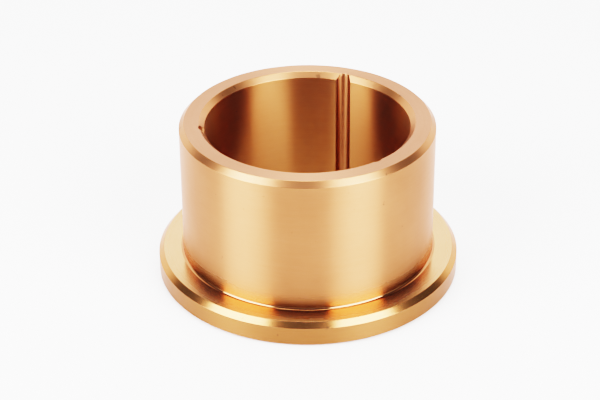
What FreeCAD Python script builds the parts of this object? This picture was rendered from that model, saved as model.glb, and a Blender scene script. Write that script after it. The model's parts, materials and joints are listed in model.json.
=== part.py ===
import FreeCAD, Part
import math
import os

# Flanged plain bearing bush, turned from one bronze casting.
#
# A sleeve is pressed into a housing until the housing's face meets the flange. A shaft or a
# pivot pin runs in the bore, and the flange's outer face takes the end thrust. Three
# round-bottomed oil grooves run along the bore from end to end.
#
# Frame: +Z is the bore's axis, from the flange towards the nose. The origin is on that axis,
# in the plane of the flange's thrust face. Units are millimetres and degrees.

BORE_DIAMETER = 80.0
SLEEVE_DIAMETER = 100.0
FLANGE_DIAMETER = 120.0
OVERALL_LENGTH = 65.0
FLANGE_THICKNESS = 10.0

BORE_CHAMFER = 2.0  # both mouths of the bore, 45 degrees, as all the chamfers are
NOSE_CHAMFER = 2.0  # lead-in on the outside of the sleeve
SHOULDER_CHAMFER = 2.0  # rim of the flange, sleeve side
THRUST_CHAMFER = 1.0  # rim of the flange, thrust side
ROOT_FILLET = 1.0  # between the sleeve and the flange's shoulder

GROOVE_COUNT = 3
GROOVE_CUTTER_DIAMETER = 6.0
GROOVE_DEPTH = 2.5  # below the wall of the bore
FIRST_GROOVE_ANGLE = 68.5  # from +X, anticlockwise seen from the nose

BORE_RADIUS = BORE_DIAMETER / 2
SLEEVE_RADIUS = SLEEVE_DIAMETER / 2
FLANGE_RADIUS = FLANGE_DIAMETER / 2

AXIS_BASE = FreeCAD.Vector(0, 0, 0)
AXIS_DIRECTION = FreeCAD.Vector(0, 0, 1)


def section_point(radius, height):
    """A point of the half-section, which lies in the XZ plane."""
    return FreeCAD.Vector(radius, 0, height)


def turned_section():
    """The closed half-section that the lathe leaves, as a face."""
    corners = [
        section_point(SLEEVE_RADIUS + ROOT_FILLET, FLANGE_THICKNESS),
        section_point(FLANGE_RADIUS - SHOULDER_CHAMFER, FLANGE_THICKNESS),
        section_point(FLANGE_RADIUS, FLANGE_THICKNESS - SHOULDER_CHAMFER),
        section_point(FLANGE_RADIUS, THRUST_CHAMFER),
        section_point(FLANGE_RADIUS - THRUST_CHAMFER, 0),
        section_point(BORE_RADIUS + BORE_CHAMFER, 0),
        section_point(BORE_RADIUS, BORE_CHAMFER),
        section_point(BORE_RADIUS, OVERALL_LENGTH - BORE_CHAMFER),
        section_point(BORE_RADIUS + BORE_CHAMFER, OVERALL_LENGTH),
        section_point(SLEEVE_RADIUS - NOSE_CHAMFER, OVERALL_LENGTH),
        section_point(SLEEVE_RADIUS, OVERALL_LENGTH - NOSE_CHAMFER),
        section_point(SLEEVE_RADIUS, FLANGE_THICKNESS + ROOT_FILLET),
    ]
    inset = ROOT_FILLET * (1 - math.sqrt(0.5))
    fillet_middle = section_point(SLEEVE_RADIUS + inset, FLANGE_THICKNESS + inset)
    fillet = Part.Arc(corners[-1], fillet_middle, corners[0]).toShape()
    outline = Part.makePolygon(corners).Edges + [fillet]
    return Part.Face(Part.Wire(outline))


def oil_groove(angle):
    """The round bar of material that one groove removes, at an angle about the bore's axis."""
    cutter_radius = GROOVE_CUTTER_DIAMETER / 2
    centre_radius = BORE_RADIUS + GROOVE_DEPTH - cutter_radius
    cutter = Part.makeCylinder(cutter_radius, OVERALL_LENGTH, section_point(centre_radius, 0))
    cutter.rotate(AXIS_BASE, AXIS_DIRECTION, angle)
    return cutter


def flanged_bush():
    """The whole bush: the turned body with its oil grooves cut."""
    body = turned_section().revolve(AXIS_BASE, AXIS_DIRECTION, 360)
    spacing = 360 / GROOVE_COUNT
    grooves = [oil_groove(FIRST_GROOVE_ANGLE + step * spacing) for step in range(GROOVE_COUNT)]
    return body.cut(grooves)


def main():
    os.makedirs("parts", exist_ok=True)
    bush = flanged_bush()
    solid = bush.Solids[0]
    print("valid", bush.isValid(), "solids", len(bush.Solids), "volume mm3", round(solid.Volume, 1))
    solid.exportStep("parts/flanged_bush.step")


main()
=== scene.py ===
import json
import math

import bpy
from mathutils import Matrix, Vector


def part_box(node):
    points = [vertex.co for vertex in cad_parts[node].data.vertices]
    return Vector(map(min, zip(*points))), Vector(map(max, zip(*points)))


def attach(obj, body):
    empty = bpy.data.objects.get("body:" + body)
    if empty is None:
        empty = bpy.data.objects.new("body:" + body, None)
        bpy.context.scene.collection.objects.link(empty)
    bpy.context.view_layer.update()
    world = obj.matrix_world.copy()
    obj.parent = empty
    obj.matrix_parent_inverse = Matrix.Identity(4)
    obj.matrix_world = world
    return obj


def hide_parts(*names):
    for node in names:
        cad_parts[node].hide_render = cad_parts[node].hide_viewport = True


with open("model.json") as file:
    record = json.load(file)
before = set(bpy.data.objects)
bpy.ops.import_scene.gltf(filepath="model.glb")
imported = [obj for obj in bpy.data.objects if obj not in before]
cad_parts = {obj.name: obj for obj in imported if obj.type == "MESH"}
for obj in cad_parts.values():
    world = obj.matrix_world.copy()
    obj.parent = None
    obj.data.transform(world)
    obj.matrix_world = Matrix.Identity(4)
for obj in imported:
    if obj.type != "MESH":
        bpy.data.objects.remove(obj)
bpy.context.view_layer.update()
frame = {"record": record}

# ---------------------------------------------------------------- sizes, in metres and degrees
MM = 0.001
BUSH = "flanged_bush"

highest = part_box(BUSH)[1]
mounts = {mount["name"]: mount for mount in frame["record"]["mounts"]}
bore, seat = mounts["bore"], mounts["housing_seat"]

LENGTH = round(highest.z, 6)
FLANGE_RADIUS = round(highest.x, 6)
BORE_RADIUS = bore["dims"]["r_mm"] * MM
SLEEVE_RADIUS = seat["dims"]["r_mm"] * MM
FLANGE_THICKNESS = mounts["shoulder"]["pos_m"][2]
BORE_CHAMFER = (LENGTH - bore["dims"]["length_mm"] * MM) / 2
NOSE_CHAMFER = LENGTH - seat["pos_m"][2] - seat["dims"]["length_mm"] * MM / 2
ROOT_FILLET = seat["pos_m"][2] - seat["dims"]["length_mm"] * MM / 2 - FLANGE_THICKNESS
SHOULDER_CHAMFER = 2.0 * MM
THRUST_CHAMFER = 1.0 * MM

GROOVES = 3
GROOVE_CUTTER_RADIUS = 3.0 * MM
GROOVE_DEPTH = 2.5 * MM
FIRST_GROOVE_ANGLE = 68.5
GROOVE_CENTRE = BORE_RADIUS + GROOVE_DEPTH - GROOVE_CUTTER_RADIUS
GROOVE_CLEAR = BORE_RADIUS + GROOVE_DEPTH + 0.6 * MM  # rings wider than this miss the grooves

EDGE_BREAK = 0.15 * MM  # radius that deburring leaves on a sharp edge
HOLD = 0.12 * MM  # a row this far past a rounding keeps the wall beyond it flat
TOUCHING = 0.0001 * MM  # closer than this counts as on the surface

# Columns of the mesh round one third of the bush: a groove with its two broken edges, then wall
EDGE_STEPS = 3  # also the steps of every other broken edge
GROOVE_STEPS = 18
WALL_STEPS = 216
SECTOR_STEPS = GROOVE_STEPS + 2 * EDGE_STEPS
COLUMNS = GROOVES * (SECTOR_STEPS + WALL_STEPS)
FILLET_STEPS = 10

# ---------------------------------------------------------------- the bronze's surface
FINISHES = ["turned_sleeve", "faced_nose", "faced_shoulder", "turned_rim", "faced_thrust",
            "nose_chamfer", "flange_chamfer", "honed_bore", "milled_groove", "root_fillet",
            "broken_edge"]
TURNED_OUTSIDE = ["turned_sleeve", "faced_nose", "faced_shoulder", "turned_rim", "faced_thrust"]
OILED = ["honed_bore", "milled_groove", "faced_shoulder"]  # where a film of oil collects
HANDLED_EDGES = ["nose_chamfer", "flange_chamfer", "broken_edge"]  # where nicks collect

# The tool slows at the flange's root and leaves a finer surface there. For each finish beside it:
# the root's height or radius, how far the change reaches, and the factor on roughness at each end
FINER_BY_ROOT = {
    "turned_sleeve": (FLANGE_THICKNESS, 11 * MM, 0.7, 1.0),
    "faced_shoulder": (SLEEVE_RADIUS, 8 * MM, 0.8, 2.0),
}

# Scales of the surface noise, in features per metre
COARSE_MARKS, FINE_MARKS = 900, 4200
PATCHES, SPECKS = 45, 330
MARK_WANDER = 0.004  # how fast a tool mark changes along its length

OIL_FILM, TARNISH = 0.3, 0.1  # weight of the dull coat over the metal
GRAZING_TINT = (1.0, 0.8, 0.73, 1)  # the metal keeps some of its colour at grazing angles
SPECK_COLOUR = (0.07, 0.035, 0.018, 1)
SPECK_LEVEL, SPECK_LEVEL_AT_EDGES = 0.74, 0.69  # the higher the level, the fewer the specks
SPECK_SOFTNESS, SPECK_STRENGTH = 0.05, 0.6


# ---------------------------------------------------------------- the turned profile
def side_corners():
    """Corners of the half-section: radius, height, rounding, and the finish of the side after it."""
    top, base = LENGTH, 0.0
    mouth = BORE_RADIUS + BORE_CHAMFER
    return [
        (mouth, base, EDGE_BREAK, "nose_chamfer"),
        (BORE_RADIUS, BORE_CHAMFER, EDGE_BREAK, "honed_bore"),
        (BORE_RADIUS, top - BORE_CHAMFER, EDGE_BREAK, "nose_chamfer"),
        (mouth, top, EDGE_BREAK, "faced_nose"),
        (SLEEVE_RADIUS - NOSE_CHAMFER, top, EDGE_BREAK, "nose_chamfer"),
        (SLEEVE_RADIUS, top - NOSE_CHAMFER, EDGE_BREAK, "turned_sleeve"),
        (SLEEVE_RADIUS, FLANGE_THICKNESS, ROOT_FILLET, "faced_shoulder"),
        (FLANGE_RADIUS - SHOULDER_CHAMFER, FLANGE_THICKNESS, EDGE_BREAK, "flange_chamfer"),
        (FLANGE_RADIUS, FLANGE_THICKNESS - SHOULDER_CHAMFER, EDGE_BREAK, "turned_rim"),
        (FLANGE_RADIUS, THRUST_CHAMFER, EDGE_BREAK, "flange_chamfer"),
        (FLANGE_RADIUS - THRUST_CHAMFER, base, EDGE_BREAK, "faced_thrust"),
    ]


def arc(centre, start, end, steps):
    """Points on the shorter arc about centre, from start to end."""
    first, last = start - centre, end - centre
    turn = math.atan2(first.x * last.y - first.y * last.x, first.dot(last))
    return [centre + Matrix.Rotation(turn * step / steps, 2) @ first for step in range(steps + 1)]


def rounded_corner(before, corner, after, radius, steps):
    """Points of the arc that rounds a corner, and a holding point on each side of it."""
    to_before, to_after = (before - corner).normalized(), (after - corner).normalized()
    half_angle = to_before.angle(to_after) / 2
    tangent = radius / math.tan(half_angle)
    centre = corner + (to_before + to_after).normalized() * (radius / math.sin(half_angle))
    rounding = arc(centre, corner + to_before * tangent, corner + to_after * tangent, steps)
    hold = tangent + HOLD
    return [corner + to_before * hold] + rounding + [corner + to_after * hold]


def section_rows():
    """Rows round the closed half-section, each with its radius, height and the finish after it."""
    corners = side_corners()
    points = [Vector(corner[:2]) for corner in corners]
    rows = []
    for index, (radius, height, rounding, finish) in enumerate(corners):
        before, after = points[index - 1], points[(index + 1) % len(points)]
        steps = FILLET_STEPS if rounding > EDGE_BREAK else EDGE_STEPS
        rounded = rounded_corner(before, points[index], after, rounding, steps)
        arc_finish = "root_fillet" if rounding > EDGE_BREAK else "broken_edge"
        finishes = [corners[index - 1][3]] + [arc_finish] * steps + [finish, finish]
        for point, point_finish in zip(rounded, finishes):
            on_end_face = min(point.y, LENGTH - point.y) < TOUCHING
            holds = point is rounded[0] or point is rounded[-1]
            at_mouth = on_end_face and holds and radius < GROOVE_CLEAR
            rows.append((GROOVE_CLEAR if at_mouth else point.x, point.y, point_finish))
    return rows


# ---------------------------------------------------------------- rings of vertices
def groove_angle(index):
    return math.radians(FIRST_GROOVE_ANGLE + index * 360 / GROOVES)


def plain_ring(radius, height):
    """Evenly spaced vertices, with a groove's middle column on each groove's angle."""
    step = 2 * math.pi / COLUMNS
    first = groove_angle(0) - step * SECTOR_STEPS / 2
    return [(radius * math.cos(first + step * k), radius * math.sin(first + step * k), height)
            for k in range(COLUMNS)]


def groove_mouth_rounding(height):
    """How far the groove's wall flares out where it meets the nose or the thrust face."""
    depth = max(0.0, min(height, LENGTH - height))
    if depth >= EDGE_BREAK:
        return 0.0
    return EDGE_BREAK - math.sqrt(EDGE_BREAK**2 - (EDGE_BREAK - depth) ** 2)


def grooved_ring(radius, height):
    """Vertices of a bore ring that dips into each groove, with the groove's edges rounded."""
    cutter = GROOVE_CUTTER_RADIUS + groove_mouth_rounding(height)
    reach, cutter_reach = radius + EDGE_BREAK, cutter + EDGE_BREAK
    edge_x = (reach**2 + GROOVE_CENTRE**2 - cutter_reach**2) / (2 * GROOVE_CENTRE)
    edge = Vector((edge_x, math.sqrt(reach**2 - edge_x**2)))
    on_wall = edge * (radius / reach)
    on_groove = edge.lerp(Vector((GROOVE_CENTRE, 0)), EDGE_BREAK / cutter_reach)
    edge_arc = arc(edge, on_groove, on_wall, EDGE_STEPS)
    swing = math.atan2(edge_arc[0].y, edge_arc[0].x - GROOVE_CENTRE)
    turns = [swing * (2 * step / GROOVE_STEPS - 1) for step in range(1, GROOVE_STEPS)]
    groove_arc = [Vector((GROOVE_CENTRE + cutter * math.cos(t), cutter * math.sin(t))) for t in turns]
    near_edge = [Vector((point.x, -point.y)) for point in reversed(edge_arc)]
    sector = near_edge + groove_arc + edge_arc
    half_width = math.atan2(edge_arc[-1].y, edge_arc[-1].x)
    wall_span = 2 * math.pi / GROOVES - 2 * half_width
    ring = []
    for index in range(GROOVES):
        middle = groove_angle(index)
        cos, sin = math.cos(middle), math.sin(middle)
        ring += [(p.x * cos - p.y * sin, p.x * sin + p.y * cos, height) for p in sector]
        for step in range(1, WALL_STEPS):
            angle = middle + half_width + wall_span * step / WALL_STEPS
            ring.append((radius * math.cos(angle), radius * math.sin(angle), height))
    return ring


def bush_mesh():
    """The bush as one closed mesh of rings, with a material index on each face for its finish."""
    rows = section_rows()
    vertices, faces, finishes = [], [], []
    for row, (radius, height, finish) in enumerate(rows):
        meets_grooves = radius < GROOVE_CLEAR - EDGE_BREAK
        ring = grooved_ring if meets_grooves else plain_ring
        vertices += ring(radius, height)
        bored = meets_grooves and finish not in TURNED_OUTSIDE
        this, after = row * COLUMNS, (row + 1) % len(rows) * COLUMNS
        for column in range(COLUMNS):
            right = (column + 1) % COLUMNS
            faces.append((this + column, this + right, after + right, after + column))
            in_groove = column % (COLUMNS // GROOVES) < SECTOR_STEPS
            finishes.append(FINISHES.index("milled_groove" if in_groove and bored else finish))
    mesh = bpy.data.meshes.new(BUSH + "_turned")
    mesh.from_pydata(vertices, [], faces)
    mesh.validate()
    mesh.polygons.foreach_set("material_index", finishes)
    mesh.polygons.foreach_set("use_smooth", [True] * len(faces))
    mesh.update()
    return mesh


# ---------------------------------------------------------------- bronze, by machining finish, with painted shade on the flange's rim
class Nodes:
    """A short way to write a node tree."""

    def __init__(self, tree):
        self.tree = tree

    def feed(self, node, inputs):
        """Links each input that is given a socket, and sets the others."""
        for key, value in inputs.items():
            if isinstance(value, bpy.types.NodeSocket):
                self.tree.links.new(value, node.inputs[key])
            else:
                node.inputs[key].default_value = value

    def add(self, kind, inputs=None, **settings):
        node = self.tree.nodes.new("ShaderNode" + kind)
        for name, value in settings.items():
            setattr(node, name, value)
        self.feed(node, inputs or {})
        return node

    def math(self, operation, *values):
        return self.add("Math", dict(enumerate(values)), operation=operation).outputs[0]

    def vector(self, operation, inputs, output="Vector"):
        return self.add("VectorMath", inputs, operation=operation).outputs[output]

    def noise(self, vector, scale, detail=2.0, roughness=0.5):
        inputs = {"Vector": vector, "Scale": scale, "Detail": detail, "Roughness": roughness}
        return self.add("TexNoise", inputs).outputs["Fac"]

    def mix(self, factor, first, second):
        """Mixes two colours."""
        inputs = {"Factor": factor, "A": first, "B": second}
        return self.add("Mix", inputs, data_type="RGBA").outputs["Result"]

    def spread(self, value, low, high):
        """Maps a noise value, which stays near 0.5, to low..high."""
        inputs = {"Value": value, "From Min": 0.3, "From Max": 0.7, "To Min": low, "To Max": high}
        return self.add("MapRange", inputs).outputs["Result"]


def tool_mark_coordinates(nodes, place, lay):
    """The coordinate across the tool marks, and a place that changes only slowly along them.

    lay is "height" for marks stacked along the axis, "radius" for rings on a faced side and
    "slope" for rings on a chamfer.
    """
    flat = nodes.vector("MULTIPLY", {0: place, 1: (1, 1, 0)})
    radius = nodes.vector("LENGTH", {0: flat}, "Value")
    height = nodes.add("SeparateXYZ", {0: place}).outputs["Z"]
    if lay == "slope":
        across = nodes.math("SUBTRACT", height, radius)
    else:
        across = height if lay == "height" else radius
    outward = nodes.vector("NORMALIZE", {0: flat})
    along = nodes.vector("SCALE", {0: outward, "Scale": MARK_WANDER})
    offset = nodes.add("CombineXYZ", {"Z": across}).outputs[0]
    return across, nodes.vector("ADD", {0: along, 1: offset})


def finer_by_the_root(nodes, across, finish):
    """The factor on roughness that FINER_BY_ROOT gives for a finish."""
    root, reach, at_root, beyond = FINER_BY_ROOT[finish]
    inputs = {"Value": across, "From Min": root, "From Max": root + reach,
              "To Min": at_root, "To Max": beyond}
    return nodes.add("MapRange", inputs, interpolation_type="SMOOTHSTEP").outputs["Result"]


def nicked(nodes, place, colour, level):
    """Darkens small specks and nicks, where the noise is above the level."""
    inputs = {"Value": nodes.noise(place, SPECKS), "From Min": level,
              "From Max": level + SPECK_SOFTNESS, "To Max": SPECK_STRENGTH}
    specks = nodes.add("MapRange", inputs).outputs["Result"]
    return nodes.mix(specks, colour, SPECK_COLOUR)


def bronze(finish, dark, light, rough, lay, marks, anisotropy):
    """Cast bronze with one machining finish.

    dark and light are the two tones that mix over the surface, rough is the range of roughness,
    lay is the tool marks' direction and marks their height in metres, and anisotropy is how far
    they draw the highlights out across themselves.
    """
    material = bpy.data.materials.new("bronze_" + finish)
    material.use_nodes = True
    nodes = Nodes(material.node_tree)
    place = nodes.add("TexCoord").outputs["Object"]
    across, mark_place = tool_mark_coordinates(nodes, place, lay)
    coarse = nodes.noise(mark_place, COARSE_MARKS, detail=3)
    fine = nodes.noise(mark_place, FINE_MARKS)
    patches = nodes.noise(place, PATCHES, detail=4, roughness=0.6)
    rings = nodes.math("MULTIPLY_ADD", fine, 0.5, nodes.math("MULTIPLY", coarse, 0.5))
    tone = nodes.math("MULTIPLY_ADD", rings, 0.5, nodes.math("MULTIPLY", patches, 0.5))
    colour = nodes.mix(nodes.spread(tone, 0.0, 1.0), dark, light)
    speck_level = SPECK_LEVEL_AT_EDGES if finish in HANDLED_EDGES else SPECK_LEVEL
    roughness = nodes.spread(tone, rough[1], rough[0])
    if finish in FINER_BY_ROOT:
        roughness = nodes.math("MULTIPLY", roughness, finer_by_the_root(nodes, across, finish))
    bump = nodes.add("Bump", {"Height": rings, "Distance": marks, "Strength": 1.0})
    tangent = nodes.add("Tangent", direction_type="RADIAL", axis="Z")
    nodes.feed(material.node_tree.nodes["Principled BSDF"], {
        "Base Color": nicked(nodes, place, colour, speck_level),
        "Roughness": roughness,
        "Normal": bump.outputs["Normal"],
        "Tangent": tangent.outputs["Tangent"],
        "Metallic": 1.0,
        "Anisotropic": anisotropy,
        "Anisotropic Rotation": 0.25,  # a quarter turn: highlights run across the tool marks
        "Specular Tint": GRAZING_TINT,
        "Coat Weight": OIL_FILM if finish in OILED else TARNISH,
        "Coat Roughness": 0.6,
    })
    return material


def bronze_finishes():
    """One material for each finish, in the order of FINISHES."""
    deep, mid = (0.285, 0.107, 0.044, 1), (0.32, 0.125, 0.055, 1)
    clay, rose = (0.235, 0.096, 0.050, 1), (0.268, 0.116, 0.064, 1)
    shade, glow = (0.258, 0.099, 0.035, 1), (0.300, 0.118, 0.042, 1)
    straw, gold = (0.40, 0.195, 0.078, 1), (0.45, 0.220, 0.098, 1)
    # The flange rim's two tones are the bronze darkened as painted shade, standing in for the
    # shadowed floor beside the flange that the rim reflects
    rim_shaded_dark, rim_shaded_mid = (0.185, 0.070, 0.024, 1), (0.215, 0.084, 0.032, 1)
    brown, tan = (0.30, 0.108, 0.034, 1), (0.34, 0.130, 0.046, 1)
    # Each finish: its two tones, roughness, lay of the tool marks, their height and anisotropy
    made = {
        "turned_sleeve": (deep, mid, (0.30, 0.35), "height", 0.6e-6, 1.0),
        "faced_nose": (clay, rose, (0.34, 0.42), "radius", 1.0e-6, 0.75),
        "faced_shoulder": (straw, gold, (0.13, 0.17), "radius", 1.5e-6, 0.6),
        # the rim's darker tones are painted shade, not a different metal or finish
        "turned_rim": (rim_shaded_dark, rim_shaded_mid, (0.30, 0.35), "height", 1.0e-6, 0.9),
        "faced_thrust": (deep, mid, (0.25, 0.35), "radius", 1.0e-6, 0.6),
        "nose_chamfer": (deep, mid, (0.28, 0.35), "slope", 1.0e-6, 0.5),
        "flange_chamfer": (brown, tan, (0.18, 0.24), "slope", 1.0e-6, 0.5),
        "honed_bore": (shade, glow, (0.27, 0.33), "height", 0.6e-6, 1.0),
        "milled_groove": (deep, mid, (0.32, 0.40), "height", 0.6e-6, 0.85),
        "root_fillet": (deep, mid, (0.06, 0.10), "slope", 1.0e-6, 0.3),
        "broken_edge": (deep, mid, (0.22, 0.30), "slope", 1.0e-6, 0.3),
    }
    return [bronze(finish, *made[finish]) for finish in FINISHES]


def add_bush():
    bush = bpy.data.objects.new("turned_bush", bush_mesh())
    bpy.context.scene.collection.objects.link(bush)
    for material in bronze_finishes():
        bush.data.materials.append(material)
    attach(bush, "root")
    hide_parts(BUSH)


# ---------------------------------------------------------------- studio
def direction(azimuth, elevation):
    """Unit vector from the bush; azimuth 0 is the camera's side and 90 is its right."""
    a, e = math.radians(azimuth), math.radians(elevation)
    return Vector((math.sin(a) * math.cos(e), -math.cos(a) * math.cos(e), math.sin(e)))


def white_table():
    """A pale, matt table top with a faint grain."""
    material = bpy.data.materials.new("white_table")
    material.use_nodes = True
    nodes = Nodes(material.node_tree)
    grain = nodes.noise(nodes.add("TexCoord").outputs["Object"], 6, detail=3)
    tone = nodes.mix(grain, (0.64, 0.64, 0.64, 1), (0.67, 0.67, 0.67, 1))
    nodes.feed(material.node_tree.nodes["Principled BSDF"], {"Base Color": tone, "Roughness": 0.6})
    return material


def add_floor():
    """A table top that runs on well past the picture."""
    half = 6.0
    mesh = bpy.data.meshes.new("floor")
    mesh.from_pydata([(-half, -half, 0), (half, -half, 0), (half, half, 0), (-half, half, 0)],
                     [], [(0, 1, 2, 3)])
    floor = bpy.data.objects.new("floor", mesh)
    bpy.context.scene.collection.objects.link(floor)
    mesh.materials.append(white_table())


def add_softbox(name, azimuth, elevation, distance, width, height, power):
    """An oval lamp that faces the bush: its direction is in degrees, its sizes are in metres."""
    light = bpy.data.lights.new(name, "AREA")
    light.shape = "ELLIPSE"
    light.size, light.size_y, light.energy = width, height, power
    box = bpy.data.objects.new(name, light)
    bpy.context.scene.collection.objects.link(box)
    towards = direction(azimuth, elevation)
    box.location = towards * distance
    box.rotation_euler = towards.to_track_quat("Z", "Y").to_euler()
    box.visible_camera = False


def add_world():
    """A white backdrop behind the bush that fades to a dim studio in front of it."""
    world = bpy.data.worlds.new("studio")
    bpy.context.scene.world = world
    world.use_nodes = True
    nodes = Nodes(world.node_tree)
    place = nodes.add("TexCoord").outputs["Generated"]
    towards_back = nodes.add("SeparateXYZ", {0: place}).outputs["Y"]
    fade_start, fade_end = 0.35, 0.60
    inputs = {"Value": towards_back, "From Min": fade_start, "From Max": fade_end}
    fade = nodes.add("MapRange", inputs, interpolation_type="SMOOTHSTEP").outputs["Result"]
    dim_studio, backdrop = (0.18, 0.24, 0.25, 1), (3.5, 3.5, 3.5, 1)
    colour = nodes.mix(fade, dim_studio, backdrop)
    nodes.feed(world.node_tree.nodes["Background"], {"Color": colour})


def add_camera():
    """The photographer's view: a long lens, a third of the way up from level."""
    camera = bpy.data.objects.new("camera", bpy.data.cameras.new("camera"))
    bpy.context.scene.collection.objects.link(camera)
    elevation, distance, roll = 30.97, 0.6895, -0.4
    orbited = Vector((0, 0, 0.0225))  # the point that elevation and distance are measured from
    frame_centre = Vector((-0.0031, 0.0028, 0.0271))  # the point in the middle of the picture
    camera.location = orbited + direction(0, elevation) * distance
    camera.rotation_euler = (camera.location - frame_centre).to_track_quat("Z", "Y").to_euler()
    camera.rotation_euler.rotate_axis("Z", math.radians(roll))
    camera.data.sensor_width = 36.0
    camera.data.lens = 103.4
    camera.data.clip_start, camera.data.clip_end = 0.01, 50.0
    bpy.context.scene.camera = camera


def main():
    add_bush()
    add_floor()
    add_world()
    add_softbox("softbox_left", -57, 32, 1.2, 0.88, 1.16, 53)
    add_softbox("softbox_right", 44.8, 32, 1.2, 0.91, 1.16, 55)
    add_softbox("softbox_top", 180, 84, 1.2, 0.7, 0.4, 25)
    add_camera()
    bpy.context.scene.view_settings.view_transform = "Filmic"
    bpy.context.scene.view_settings.look = "Very High Contrast"


main()
